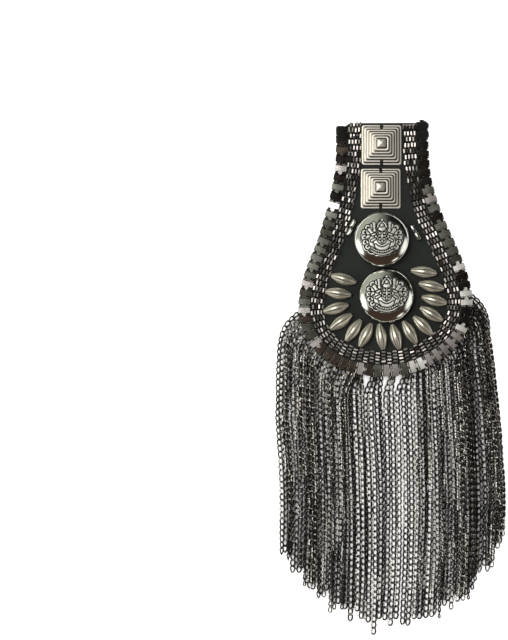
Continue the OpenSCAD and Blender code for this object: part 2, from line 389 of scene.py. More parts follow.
def outward(obj):
    """Merges the points that meet, and turns every face outwards."""
    with editing(obj):
        bpy.ops.mesh.remove_doubles(threshold=0.002 * MM)
        bpy.ops.mesh.normals_make_consistent(inside=False)


def rise(x, edge0, edge1):
    """0 at edge0, 1 at edge1 and a soft rise between them."""
    f = np.clip((x - edge0) / (edge1 - edge0), 0, 1)
    return f * f * (3 - 2 * f)


class Model:
    """Points, faces and vertex numbers of a finished small shape, kept for making copies of it."""

    def __init__(self, obj):
        self.points = points_of(obj)
        self.faces = [tuple(p.vertices) for p in obj.data.polygons]
        self.marks = {}
        for name in ("painted_shade", "frosted"):
            if name in obj.data.attributes:
                self.marks[name] = np.zeros(len(self.points), np.float32)
                obj.data.attributes[name].data.foreach_get("value", self.marks[name])
        bpy.data.objects.remove(obj)


def new_object(name, data):
    obj = bpy.data.objects.new(name, data)
    bpy.context.scene.collection.objects.link(obj)
    return obj


def copies(model, places, tones=None):
    """One object that holds a copy of the model at each place, each copy with its own tone."""
    count = len(model.points)
    points, faces = [], []
    for i, place in enumerate(places):
        m = np.array(place)
        points.append(model.points @ m[:3, :3].T + m[:3, 3])
        faces += [tuple(v + i * count for v in f) for f in model.faces]
    mesh = bpy.data.meshes.new("copies")
    mesh.from_pydata(np.concatenate(points).tolist(), [], faces)
    obj = new_object("copies", mesh)
    set_attribute(obj, "tone", np.repeat(tones or [MIDDLE_TONE] * len(places), count))
    for mark, numbers in model.marks.items():
        set_attribute(obj, mark, np.tile(numbers, len(places)))
    return obj


def finish(obj, name, material, nodes, angle):
    """Names a piece, shades it, gives it its finish and lets it ride with the object."""
    select_only(obj)
    bpy.ops.object.transform_apply(location=True, rotation=True, scale=True)
    bpy.ops.object.shade_smooth_by_angle(angle=math.radians(angle))
    obj.name = obj.data.name = name
    obj.data.materials.clear()
    obj.data.materials.append(material)
    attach(obj, "root")
    if nodes:
        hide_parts(*nodes)


def centre_of(name):
    low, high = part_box(name)
    return (low + high) / 2


def placed(x, y, z, heading, tilt):
    """Matrix for a copy: turned by heading, tipped towards X and Y by tilt in degrees, then moved."""
    lean_x, lean_y = (math.radians(degrees) for degrees in tilt)
    lean = Matrix.Rotation(lean_x, 4, "Y") @ Matrix.Rotation(-lean_y, 4, "X")
    return Matrix.Translation((x, y, z)) @ lean @ Matrix.Rotation(heading, 4, "Z")


# Shader maths

class Value:
    """An output socket that takes part in Python arithmetic by adding Math nodes."""

    def __init__(self, graph, socket):
        self.graph = graph
        self.socket = socket

    def math(self, operation, a, b):
        return self.graph.node("ShaderNodeMath", {"operation": operation}, {0: a, 1: b})

    def __add__(self, other):
        return self.math("ADD", self, other)

    def __radd__(self, other):
        return self.math("ADD", other, self)

    def __sub__(self, other):
        return self.math("SUBTRACT", self, other)

    def __rsub__(self, other):
        return self.math("SUBTRACT", other, self)

    def __mul__(self, other):
        return self.math("MULTIPLY", self, other)

    def __rmul__(self, other):
        return self.math("MULTIPLY", other, self)

    def step(self, low, high):
        """0 below low, 1 above high and a soft rise between them."""
        return self.graph.node(
            "ShaderNodeMapRange", {"interpolation_type": "SMOOTHSTEP"},
            {"Value": self, "From Min": low, "From Max": high},
        )


class Graph:
    """Adds nodes to a node tree."""

    def __init__(self, tree):
        self.tree = tree

    def node(self, kind, options, sockets, output=0):
        """Adds a node: its options are set first, then its sockets' values and links."""
        made = self.tree.nodes.new(kind)
        for key, value in options.items():
            setattr(made, key, value)
        for key, value in sockets.items():
            if isinstance(value, Value):
                self.tree.links.new(value.socket, made.inputs[key])
            else:
                made.inputs[key].default_value = value
        return Value(self, made.outputs[output])

    def mix(self, factor, a, b, blend="MIX"):
        return self.node("ShaderNodeMix", {"data_type": "RGBA", "blend_type": blend}, {
            0: factor, 6: a, 7: b}, 2)

    def ramp(self, value, *stops):
        """Colour ramp through (place, colour) stops."""
        made = self.tree.nodes.new("ShaderNodeValToRGB")
        while len(made.color_ramp.elements) < len(stops):
            made.color_ramp.elements.new(0.5)
        for element, (place, tone) in zip(made.color_ramp.elements, stops):
            element.position = place
            element.color = rgba(tone)
        self.tree.links.new(value.socket, made.inputs["Fac"])
        return Value(self, made.outputs["Color"])


class Shader(Graph):
    """A material around one Principled shader."""

    def __init__(self, name, **constants):
        self.material = bpy.data.materials.new(name)
        self.material.use_nodes = True
        super().__init__(self.material.node_tree)
        self.surface = self.tree.nodes["Principled BSDF"]
        for key, value in constants.items():
            self.surface.inputs[key.replace("_", " ")].default_value = value
        self.place = self.node("ShaderNodeTexCoord", {}, {}, "Object")

    def noise(self, size, detail=3.0, roughness=0.55, stretch=None):
        """Noise from 0 to 1 whose lumps have about this size in metres."""
        vector = self.place
        if stretch:
            vector = self.node("ShaderNodeMapping", {}, {"Vector": vector, "Scale": stretch})
        return self.node("ShaderNodeTexNoise", {}, {
            "Vector": vector, "Scale": 1 / size, "Detail": detail, "Roughness": roughness})

    def attribute(self, name):
        return self.node("ShaderNodeAttribute", {"attribute_name": name}, {}, "Fac")

    def feed(self, **sockets):
        for key, value in sockets.items():
            self.tree.links.new(value.socket, self.surface.inputs[key.replace("_", " ")])

    def bump(self, height, distance, strength):
        self.feed(Normal=self.node("ShaderNodeBump", {}, {
            "Height": height, "Distance": distance, "Strength": strength}))


def rgba(tone, factor=1.0):
    return (tone[0] * factor, tone[1] * factor, tone[2] * factor, 1.0)


# Materials

def leather(name, tone, worn):
    """Fine-grained black leather, rubbed a little lighter in patches."""
    s = Shader(name, Roughness=0.6, Specular_IOR_Level=0.35)
    grain = s.node("ShaderNodeTexVoronoi", {"feature": "DISTANCE_TO_EDGE"}, {
        "Vector": s.place, "Scale": 1 / (0.55 * MM)}, "Distance")
    fine = s.noise(0.25 * MM, 4)
    patches = s.noise(9 * MM, 4, 0.6)
    s.feed(Base_Color=s.mix((patches * 1.6 - 0.35) * (0.5 + fine), rgba(tone), rgba(worn)))
    s.feed(Roughness=0.50 + 0.22 * patches)
    s.bump(grain.step(0.0, 0.16) * 0.7 + fine * 0.5, 0.05 * MM, 0.6)
    return s.material


def plated(name, tone, rough, spread, own=0.0, painted_shade=None, crisp=1.0, frosted=None):
    """Plated metal, whose shade drifts a little.

    Each copy has its own brightness as far as own says. An attribute of painted shade darkens it to
    that colour, fully from the value crisp on, and the attribute frosted turns it to the frosted
    metal of this colour and roughness.
    """
    s = Shader(name, Metallic=1.0, Specular_IOR_Level=0.12)
    drift = s.noise(7 * MM, 3)
    fine = s.noise(0.35 * MM, 4)
    scratches = s.noise(1.2 * MM, 3, 0.7, stretch=(1.0, 6.0, 1.0))
    base = s.mix(drift, rgba(tone), rgba(tone, 0.9))
    if own:
        shade = 1 - own + 2 * own * s.attribute("tone")
        grey = s.node("ShaderNodeCombineColor", {}, {0: shade, 1: shade, 2: shade})
        base = s.mix(1.0, base, grey, "MULTIPLY")
    roughness = rough + spread * (scratches - 0.5) + 0.06 * (fine - 0.5)
    # Painted shade: the marks darken grooves, outlines, gaps and wire sides to the given colour
    if painted_shade:
        dark = s.node("ShaderNodeMapRange", {}, {"Value": s.attribute("painted_shade"), "From Max": crisp})
        metal = 1 - 0.4 * dark
        roughness = roughness + 0.3 * dark
        if frosted:
            pale, dull = frosted
            mask = s.attribute("frosted")
            base = s.mix(mask, base, rgba(pale))
            roughness = roughness + (dull - rough) * mask
            metal = metal - 0.6 * mask
        base = s.mix(dark, base, rgba(painted_shade))
        s.feed(Metallic=metal)
    s.feed(Base_Color=base)
    s.feed(Roughness=roughness)
    s.bump(fine * 0.5 + scratches * 0.5, 0.006 * MM, 0.5)
    return s.material


def black_nickel(name):
    """Mirror-bright black nickel whose colour, picked by each link's tone, is painted light and shade: near
    black for links tipped away from the key light, near white for those facing it, with brown, olive and
    pink tints between.
    """
    s = Shader(name, Metallic=1.0)
    fine = s.noise(0.5 * MM, 4)
    drift = s.noise(3 * MM, 3)
    # The tone, with a little drift, picks the colour from the ramp: painted light and shade, darker for
    # links tipped away from the key light and lighter for those facing it
    painted_light_hue = s.attribute("tone") + 0.12 * (drift - 0.5)
    plate = s.ramp(
        painted_light_hue,
        (0.0, (0.15, 0.148, 0.145)), (0.2, (0.25, 0.19, 0.155)), (0.4, (0.34, 0.35, 0.29)),
        (0.6, (0.56, 0.55, 0.50)), (0.8, (0.70, 0.63, 0.61)), (1.0, (0.90, 0.89, 0.84)))
    # Painted shade: the marks darken the bars and the neck towards near black
    s.feed(Base_Color=s.mix(0.6 * s.attribute("painted_shade"), plate, rgba((0.03, 0.028, 0.026))))
    s.feed(Roughness=0.17 + 0.10 * (drift - 0.5) + 0.08 * (fine - 0.5))
    s.bump(fine, 0.005 * MM, 0.5)
    return s.material


def thread_finish(name, tone):
    """Waxed black thread with the marks of its twist."""
    s = Shader(name, Roughness=0.62, Specular_IOR_Level=0.3)
    fibres = s.noise(0.12 * MM, 3, 0.6)
    s.feed(Base_Color=s.mix(fibres, rgba(tone, 0.6), rgba(tone, 2.2)))
    s.feed(Roughness=0.5 + 0.25 * fibres)
    s.bump(fibres, 0.05 * MM, 0.7)
    return s.material


# Pieces

def pad_piece(pad):
    """The leather-covered pad: a rounded slab with slow rises, and dimples under the beads."""
    low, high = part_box("pad")
    _, rim, run = route.side(pad.reach, steps=300)
    corners = 260
    at = np.linspace(0, run[-1], corners)
    outline = np.column_stack([np.interp(at, run, rim[:, k]) for k in (0, 1)])
    # The left corner at the collar end is worn down to its thread wraps
    outline[:2] = np.array([(-18.0, 115.5), (-20.5, 113.6)]) * MM
    obj = added(bpy.ops.mesh.primitive_circle_add, vertices=corners, fill_type="NGON")
    set_points(obj, np.column_stack([outline, np.full(corners, low.z)]))
    with editing(obj):
        bpy.ops.mesh.extrude_region_move(TRANSFORM_OT_translate={"value": (0, 0, high.z - low.z)})
        bpy.ops.mesh.select_all(action="SELECT")
        bpy.ops.mesh.normals_make_consistent(inside=False)
    add_modifier(obj, "REMESH", mode="VOXEL", voxel_size=pad.voxel)
    add_modifier(obj, "SMOOTH", factor=0.6, iterations=4)
    points = points_of(obj)
    above = rise(points[:, 2], low.z, high.z)
    swells_per_metre = 90
    swell = np.array([noise.noise(Vector(p) * swells_per_metre) for p in points])
    points[:, 2] += above * pad.swell * (swell - 0.5)
    dimple, dimple_reach = 0.1 * MM, 3 * MM
    for name in BEAD_TURNS:
        away = np.linalg.norm(points[:, :2] - np.array(centre_of(name))[:2], axis=1)
        points[:, 2] -= above * dimple * np.exp(-(away / dimple_reach) ** 2)
    set_points(obj, points)
    return obj


def crowned(obj, cuts, height, bend):
    """Subdivides a slab and moves the points of its top by the height times bend(points)."""
    with editing(obj):
        bpy.ops.mesh.subdivide(number_cuts=cuts)
    points = points_of(obj)
    middle = (points[:, 2].min() + points[:, 2].max()) / 2
    points[:, 2] += np.where(points[:, 2] > middle + 0.1 * MM, height * bend(points), 0)
    set_points(obj, points)


def flat_link_model(chain):
    """One flat link: a plate, two bars with a slot between them, and a neck to the next link."""
    half_l = chain.link_length / 2
    half_w = chain.link_width / 2
    thick = chain.link_thickness
    bar_l, neck_l = 0.75 * MM, 1.7 * MM
    half_slot, narrower = 0.42 * MM, 0.15 * MM
    plate = cuboid((chain.link_length - bar_l, chain.link_width, thick * 0.84),
                   (bar_l / 2, 0, thick * 0.52))
    crowned(plate, 3, 0.02 * MM, lambda p: 1 - (p[:, 1] / half_w) ** 2)
    bar_x = bar_l / 2 - half_l - 0.06 * MM
    bars = [cuboid((bar_l, half_w - half_slot - narrower, thick * 0.8),
                   (bar_x, side * (half_w + half_slot - narrower) / 2, thick * 0.5)) for side in (1, -1)]
    for bar in bars:
        crowned(bar, 2, -0.035 * MM, lambda p: ((p[:, 0] - bar_x) / bar_l * 2) ** 2)
    neck = cuboid((neck_l, chain.neck_width, 0.66 * MM), (half_l + neck_l / 2 - 0.2 * MM, 0, 0.58 * MM))
    parts = [plate, *bars, neck]
    # Painted shade: the bars, and a little the neck, are marked to be darkened towards near black, for the
    # shade in the gaps between the plates
    for part, soft, shade in zip(parts, (0.1, 0.14, 0.14, 0.06), (0.0, 1.1, 1.1, 0.1)):
        add_modifier(part, "BEVEL", width=soft * MM, segments=2, limit_method="ANGLE",
                     angle_limit=math.radians(50))
        set_attribute(part, "painted_shade", np.full(len(part.data.vertices), shade))
    return Model(joined(parts))


def edge_chain_pieces(chain, material):
    """The flat-link chain in the four joined stretches of the CAD."""
    model = flat_link_model(chain)
    rng = random.Random(11)
    out = chain.link_inset + chain.link_width / 2
    stations, _, run = route.side(out)
    low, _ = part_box("edge_chain_neck_left")
    numbers, lengths = zip(*LINK_AT)
    places, tones = [], []
    for i, kind in enumerate(LINK_TIPS):
        t = np.interp(np.interp(i, numbers, lengths) * MM, run, stations)
        facing, painted_light_hue = TIPS[kind]
        tilt = [lean * facing + rng.gauss(0, 0.16) for lean in FACING_KEY]
        places.append(placed(*route.beside(t, out), low.z, route.heading(t), tilt))
        # The tone picks the link's colour in black_nickel: painted light and shade, matched to the lean
        tones.append(painted_light_hue + rng.uniform(-0.06, 0.06))
    bounds = [part * len(places) // len(EDGE_PARTS) for part in range(len(EDGE_PARTS) + 1)]
    for label, first, end in zip(EDGE_PARTS, bounds, bounds[1:]):
        name = f"edge_chain_{label}"
        finish(copies(model, places[first:end], tones[first:end]), f"{name}_links", material,
               [name], angle=20)


def ringed(rings, marks):
    """A skin through rings that all have as many points, with their marks as an attribute of painted shade.
    """
    obj = added(bpy.ops.mesh.primitive_circle_add, vertices=len(rings[0]), fill_type="NOTHING")
    set_points(obj, rings[0])
    with editing(obj, "EDGE"):
        for before, after in zip(rings[:-1], rings[1:]):
            extrude_to(obj, before, after)
    every = np.concatenate(rings)
    numbers = np.concatenate([np.broadcast_to(mark, len(ring)) for mark, ring in zip(marks, rings)])
    nearest = [np.argmin(np.linalg.norm(every - p, axis=1)) for p in points_of(obj)]
    set_attribute(obj, "painted_shade", numbers[nearest])
    return obj


def ring_model(middle, rings, sides, wire, edge=1.0, filed=0.0):
    """A wire link, whose middle line middle(angle) gives.

    With an edge over 1, the wire is squared and as many times deeper than it is wide. With filed, its
    top is filed flat at that share of the wire's radius, and its sides are darkened by painted shade.
    """
    ring = added(bpy.ops.mesh.primitive_torus_add, major_segments=rings, minor_segments=sides,
                 major_radius=2 * wire, minor_radius=wire / 2)
    points = points_of(ring)
    angle = np.arctan2(points[:, 1], points[:, 0])
    line, after, before = (np.array([middle(a + d) for a in angle]) for d in (0, 0.02, -0.02))
    ahead = after - before
    side = np.column_stack([ahead[:, 1], -ahead[:, 0]]) / np.linalg.norm(ahead[:, :2], axis=1)[:, None]
    out = np.linalg.norm(points[:, :2], axis=1) - 2 * wire
    up = points[:, 2]
    if edge > 1:
        out, up = (np.clip(1.4 * part, -wire / 2, wire / 2) for part in (out, up))
    # Painted shade: the wire's sides are darkened and only the filed top keeps the metal's colour
    if filed:
        set_attribute(ring, "painted_shade", 1 - rise(up / wire * 2, 0.1, filed))
        up = np.minimum(up, filed * wire / 2)
    set_points(ring, line + np.column_stack([side * out[:, None], up * edge]))
    return Model(ring)


def fine_link_line(half_long, half_wide):
    """Middle line of a fine link: an oval with straight sides."""
    turns = (0, 0.53, 1.04, math.pi / 2)

    def middle(angle):
        x, y = math.cos(angle), math.sin(angle)
        turn = math.atan2(abs(y), abs(x))
        long = half_long * np.interp(turn, turns, (1, 1, 0.84, 0))
        wide = half_wide * np.interp(turn, turns, (0, 0.5, 1, 1))
        return math.copysign(long, x), math.copysign(wide, y), 0
    return middle


def fine_facing(i, along):
    """How far link i of a fine chain faces the key light, at that share of the way round."""
    uneven = np.interp(along, (0.9, 0.93), (0.09, 0.3)) * (i % 4 - 1)
    return np.interp(along, *zip(*FINE_FACING)) + uneven + 0.2 * noise.noise(Vector((i * 0.7, 3.0, 5.0)))


def fine_chain_pieces(chain, material):
    """Fine chains: long links on edge, joined by small dark rings that lie flat."""
    wire = chain.fine_wire
    long_link = ring_model(fine_link_line((chain.fine_length - wire) / 2, (chain.fine_width - wire) / 2),
                           12, 8, wire, chain.fine_edge / wire)
    ring = ring_model(fine_link_line(0.5 * MM, 0.4 * MM), 12, 5, 0.3 * MM)
    rng = random.Random(23)
    z = centre_of("fine_chain_1").z
    stations, _, run = route.side(-chain.fine_step * chain.fine_count / 2)
    pitches = round(run[-1] / chain.fine_pitch)
    for strand in range(1, chain.fine_count + 1):
        places, tones = [], []
        for i in range(2 * pitches):
            is_ring = i % 2
            along = (i / 2 + 0.25) / pitches
            at = min(along * run[-1], run[-1] - 0.9 * MM) + rng.gauss(0, 0.05) * MM
            t = np.interp(at, run, stations)
            aside = 0 if is_ring else chain.fine_zigzag * (i % 4 - 1)
            out = -chain.fine_step * (strand - 0.5) + aside + rng.gauss(0, 0.04) * MM
            heading = route.heading(t) + math.radians(rng.gauss(0, 3))
            facing = fine_facing(i, along) + rng.gauss(0, 0.04)
            roll = (0 if is_ring else 90) + rng.gauss(0, 3)
            places.append(placed(*route.beside(t, out), z, heading, [lean * facing for lean in FACING_KEY])
                          @ Matrix.Rotation(math.radians(roll), 4, "X"))
            tones.append(0.1 if is_ring else rng.uniform(0.35, 0.65))
        name = f"fine_chain_{strand}"
        pair = [copies(long_link, places[::2], tones[::2]), copies(ring, places[1::2], tones[1::2])]
        finish(joined(pair), f"{name}_links", material, [name], angle=20)


# Ways that the points of a rounded square face: five at each corner
CORNER_TURNS = np.radians([90 * q + a for q in range(4) for a in (0, 22.5, 45, 67.5, 90)])


def round_square(half, radius, z):
    """Points of a square with rounded corners."""
    corner = np.radians([90 * q + 45 for q in range(4) for _ in range(5)])
    reach = (half - radius) * math.sqrt(2)
    return np.column_stack([
        reach * np.cos(corner) + radius * np.cos(CORNER_TURNS),
        reach * np.sin(corner) + radius * np.sin(CORNER_TURNS), np.full(len(corner), z)])


def stud_rim(ornament, height):
    """Height of a stud's outer step: its steps end a pyramid's height below its peak."""
    return height - 1.2 * MM - ornament.stud_rise * (ornament.stud_steps - 1)


def stud_model(ornament, width, height):
    """A square stud: steps, whose treads slope a little and end in a groove darkened by painted shade, round
    a small pyramid.

    The steps lean a little towards the collar end, as the stud does on the curved pad.
    """
    tread, soft = ornament.stud_tread, 0.07 * MM
    drop = tread * 0.06
    side, z = width / 2, stud_rim(ornament, height)
    outline = [(side, 0, 0), (side, z - drop - soft, 0)]
    for step in range(ornament.stud_steps):
        outline += [(side - soft, z - drop, 0), (side - tread + 0.22 * MM, z, 0)]
        if step < ornament.stud_steps - 1:
            outline.append((side - tread, z - 0.14 * MM, 1))
            side -= tread + ornament.stud_riser
            z += ornament.stud_rise
            outline.append((side, z - drop - soft, 0.9))
    side -= tread
    outline += [(side - 0.08 * MM, z - 0.1 * MM, 1), (side - 0.2 * MM, z - 0.5 * MM, 1),
                (side - 0.35 * MM, z - 0.5 * MM, 1), (side - 0.5 * MM, z + 0.2 * MM, 0.6),
                (side - 0.6 * MM, z + 0.3 * MM, 0.3), (0.15 * MM, z + 0.7 * MM, 0)]
    # Painted shade: the grooves and the pyramid's foot are darkened on the top, right and bottom sides, not
    # on the side that faces left towards the strongest wall light
    dark = rise(np.cos(CORNER_TURNS), -1, -0.2)
    rings, marks = [], []
    for half, up, mark in outline:
        ring = round_square(half, min(0.9 * MM, 0.3 * half), up)
        ring[:, 1] += ornament.stud_lean * max(0, 1 - half * 2 / width)
        rings.append(ring)
        marks.append(mark * dark)
    stud = ringed(rings, marks)
    with editing(stud, "EDGE"):
        pick_open_edges(stud)
        bpy.ops.mesh.edge_face_add()
        bpy.ops.mesh.select_all(action="SELECT")
        bpy.ops.mesh.normals_make_consistent(inside=False)
    return Model(stud)


def stud_pieces(ornament, material):
    for name in ("stud_upper", "stud_lower"):
        low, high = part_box(name)
        model = stud_model(ornament, high.x - low.x, high.z - low.z)
        place = Matrix.Translation(((low.x + high.x) / 2, (low.y + high.y) / 2, low.z))
        finish(copies(model, [place]), f"{name}_steps", material, [name], angle=25)


def arc(cx, cy, rx, ry, start, end, count=9):
    """Points of an arc, by the angles of its ends in degrees."""
    turns = np.radians(np.linspace(start, end, count))
    return np.column_stack([cx + rx * np.cos(turns), cy + ry * np.sin(turns)])


def spot(x, y, radius):
    """A round spot, as a very short stroke."""
    return [(x, y), (x + 0.01, y)], (radius, radius)


def crest_shapes():
    """The crest from back to front: each shape has a height and its strokes, with their half widths.

    A crown stands above a quartered shield, between two scrolled supporters in leafy
    mantling, and a bare ribbon and a row of beads run below.
    """
    shapes = [(0.35, [
        ([(-4.6, 0.4), (4.6, 0.4)], (4.9, 4.9)), ([(0, -1.5), (0, -3.2)], (4.6, 3.6)),
        *[spot(s * x, y, r) for s in (1, -1) for x, y, r in (
            (4.0, 5.1, 1.7), (6.1, 4.5, 1.6), (7.5, 2.6, 1.5), (7.7, 0.4, 1.5), (7.4, -1.8, 1.5),
            (6.3, -3.8, 1.5), (4.5, -5.2, 1.5), (2.3, -6.0, 1.5))],
    ])]
    for s in (1, -1):
        shapes += [(0.8, [(arc(s * x, y, s * r, r, a, b), np.linspace(0.46, 0.3, 9))]) for x, y, r, a, b in (
            (6.3, 4.7, 0.85, -50, 200), (7.7, 2.5, 0.8, -80, 170), (7.9, 0.2, 0.75, -110, 150),
            (7.5, -2.0, 0.8, -130, 120), (6.3, -4.0, 0.8, -160, 90), (4.4, -5.5, 0.75, 170, 390))]
        shapes += [
            (0.85, [([(s * 5.2, 1.4), (s * 6.3, 2.0), (s * 6.9, 3.4)], (0.6, 0.5, 0.2))]),
            (0.85, [([(s * 5.0, 0.6), (s * 6.4, 0.6), (s * 7.0, -0.4)], (0.55, 0.45, 0.2))]),
            (0.85, [([(s * 5.3, -2.0), (s * 6.4, -2.2), (s * 6.8, -1.3)], (0.5, 0.42, 0.25))]),
            (0.9, [([(s * 3.3, 3.2), (s * 3.5, 6.3)], (0.6, 0.5)), spot(s * 3.5, 6.6, 0.68)]),
            (0.8, [([(s * 4.6, 3.9), (s * 4.8, 6.0)], (0.45, 0.35))]),
            (1.0, [([(s * 3.5, -4.0), (s * 4.7, -3.0), (s * 5.0, -1.4), (s * 4.3, 0.2),
                     (s * 4.3, 1.8), (s * 5.2, 3.2)], (0.45, 0.75, 0.85, 0.8, 0.7, 0.55)),
                   spot(s * 5.5, 3.6, 0.8)]),
            (0.9, [([(s * 4.2, 1.2), (s * 3.1, 1.7)], (0.42, 0.36))]),
            (0.9, [([(s * 4.6, -1.4), (s * 3.2, -0.6)], (0.45, 0.36))]),
        ]
    shapes += [
        (0.85, [([(0, 1.7), (0, -0.7), (0, -2.3)], (2.1, 2.0, 0.6))]),
        (1.0, [([(0, 2.8), (0, -2.0)], (0.3, 0.3)), ([(-1.6, 0.7), (1.6, 0.7)], (0.26, 0.26))]),
        (1.0, [spot(s * 1.05, 2.0, 0.48) for s in (1, -1)] + [spot(s * 0.95, -0.7, 0.42) for s in (1, -1)]),
        (0.9, [(arc(0, 6.0, 3.2, 2.3, 225, 315), np.full(9, 0.42))]),
        (0.75, [([(0, 5.2), (0, 6.4), (0, 7.3)], (2.15, 1.6, 0.6))]),
        (1.0, [([(-1.9, 4.8), (-1.6, 6.1), (0, 7.7), (1.6, 6.1), (1.9, 4.8)], (0.32,) * 5)]),
        (1.0, [spot(0, 5.7, 0.75), spot(0, 8.15, 0.55)]),
        (1.0, [(arc(0, -1.2, 3.5, 3.9, 215, 325), np.sin(np.linspace(0.18, 0.82, 9) * math.pi) * 0.85)]),
        (0.9, [(arc(0, 3.2, 8.6, 10.6, 238, 302, 15), np.full(15, 0.3))]),
        (1.0, [spot(*p, 0.42) for p in arc(0, 3.2, 7.9, 9.5, 236, 304, 10)]),
    ]
    return shapes


def crest_relief(x, y):
    """Height of the crest at points in millimetres, its outlines darkened by painted shade and how far it
    covers them.

    Shapes are laid over each other from back to front, and each cuts an outline round itself.
    """
    height, painted_shade, cover = np.zeros(len(x)), np.zeros(len(x)), np.zeros(len(x))
    for top, strokes in crest_shapes():
        edge, across = np.full(len(x), 9.0), np.ones(len(x))
        for points, widths in strokes:
            points = np.asarray(points, float)
            for a, b, wa, wb in zip(points[:-1], points[1:], widths[:-1], widths[1:]):
                run = b - a
                f = np.clip(((x - a[0]) * run[0] + (y - a[1]) * run[1]) / (run @ run), 0, 1)
                half = wa + (wb - wa) * f
                away = np.hypot(x - a[0] - f * run[0], y - a[1] - f * run[1]) - half
                across = np.where(away < edge, half, across)
                edge = np.minimum(edge, away)
        outline = 1 - rise(edge, 0.33, 0.5)
        body = 1 - rise(edge, -0.08, 0.08)
        round_top = np.clip(1 + edge / np.minimum(across, 0.9), 0, 1)
        height = height * (1 - outline) + outline * height * 0.2
        height = height * (1 - body) + body * top * (1 - 0.45 * round_top ** 3)
        # Painted shade darkens each shape's outline, outside its body
        painted_shade = np.maximum(painted_shade, outline) * (1 - body)
        cover = np.maximum(cover, outline)
    return height, painted_shade, cover


def on_disc(u, v):
    """Radius and angle on a disc of radius 1, for points of a square from -1 to 1."""
    r = np.maximum(np.abs(u), np.abs(v))
    safe = np.where(r > 0, r, 1)
    return r, np.where(
        np.abs(u) >= np.abs(v),
        np.where(u >= 0, 0, math.pi) + math.pi / 4 * v / safe * np.sign(u + 1e-12),
        math.pi / 2 * np.sign(v) - math.pi / 4 * u / safe * np.sign(v))


def button_model(ornament):
    """A domed shank button: a grid bent to a crested dome, then a turned-in rim, a back and a shank."""
    radius, cells = ornament.button_diameter / 2, 184
    button = added(bpy.ops.mesh.primitive_grid_add, x_subdivisions=cells, y_subdivisions=cells, size=2)
    points = points_of(button)
    r, turn = on_disc(points[:, 0], points[:, 1])
    x, y = r * np.cos(turn) * radius, r * np.sin(turn) * radius
    fall = np.sqrt(np.clip(1 - r ** 2, 0, 1))
    height, painted_shade, cover = crest_relief(x / MM, y / MM)
    out = np.column_stack([x / radius ** 2, y / radius ** 2, fall / ornament.button_dome])
    out /= np.linalg.norm(out, axis=1)[:, None]
    dome = np.column_stack([x, y, ornament.button_back + ornament.button_dome * fall])
    set_points(button, dome + out * (ornament.relief * (height - 0.15 * painted_shade))[:, None])
    # The outlines are painted dark: painted shade in the crest's recesses
    set_attribute(button, "painted_shade", painted_shade)
    set_attribute(button, "frosted", cover)
    with editing(button, "EDGE"):
        pick_open_edges(button)
        for drop, scale in ((0.35, 1.0), (0.4, 0.975), (0.25, 0.9), (0.0, 0.14), (ornament.shank / MM, 1.0)):
            bpy.ops.mesh.extrude_region_move(TRANSFORM_OT_translate={"value": (0, 0, -drop * MM)})
            bpy.ops.transform.resize(value=(scale, scale, 1), center_override=(0, 0, 0))
        bpy.ops.mesh.edge_face_add()
    outward(button)
    return Model(button)


def button_pieces(ornament, material):
    model = button_model(ornament)
    low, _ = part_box("stud_upper")
    for name, x, y, lean in BUTTONS:
        place = placed(x * MM, y * MM, low.z + ornament.shank, 0, (0, lean))
        finish(copies(model, [place]), f"{name}_crested", material, [name], angle=70)


def ring_along(x, radii, around):
    """Points round the X axis, at these angles."""
    return np.column_stack([np.full(len(around), x), radii * np.cos(around), radii * np.sin(around)])


def spindle_model(ornament, width):
    """A ribbed spindle bead along X, with its thread hole, its grooves and thin ends darkened by painted
    shade.
    """
    long, end = ornament.spindle_length / 2, ornament.spindle_end / 2
    hole = ornament.thread_hole / 2
    around = np.linspace(0, 2 * math.pi, 8 * ornament.spindle_ribs, endpoint=False)
    half_rib = math.pi / ornament.spindle_ribs
    across = (around + half_rib) % (2 * half_rib) - half_rib
    groove = np.exp(-(((half_rib - np.abs(across)) / 0.15) ** 2))
    flat = 0.2 + 0.8 * math.cos(half_rib) / np.cos(across)
    outline = [(hole, -0.6, 0), (hole, -0.985, 0), (0.8 * end, -1, 0)]
    for along in np.linspace(-1, 1, 25):
        swell = math.cos(along * math.pi / 2)
        outline.append((end + (width / 2 - end) * swell, along, swell))
    outline += [(0.8 * end, 1, 0), (hole, 0.985, 0), (hole, 0.6, 0)]
    rings, marks = [], []
    for radius, along, swell in outline:
        r = radius * (1 + (flat - 1 - 0.2 * groove) * swell ** 0.5)
        rings.append(ring_along(along * long, r, around))
        # Painted shade: the grooves are darkened, most at the bead's middle, and so are the thin ends
        marks.append(groove * (0.5 + 0.5 * swell) + 0.4 * (1 - swell) ** 1.5)
    bead = ringed(rings, marks)
    set_attribute(bead, "frosted", np.full(len(bead.data.vertices), 0.4))
    outward(bead)
    return Model(bead)


def spindle_pieces(ornament, material):
    low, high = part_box("spindle_bead_1")
    model = spindle_model(ornament, high.z - low.z)
    rng = random.Random(5)
    for name, degrees in SPINDLE_TURNS.items():
        turn = math.radians(degrees)
        toward_key = FACING_KEY[1] * math.cos(turn) - FACING_KEY[0] * math.sin(turn)
        roll = 90 - toward_key + rng.gauss(0, 4)
        place = (Matrix.Translation(centre_of(name)) @ Matrix.Rotation(turn, 4, "Z")
                 @ Matrix.Rotation(math.radians(roll), 4, "X"))
        finish(copies(model, [place], [rng.uniform(0.4, 0.6)]), f"{name}_ribbed", material,
               [name], angle=50)


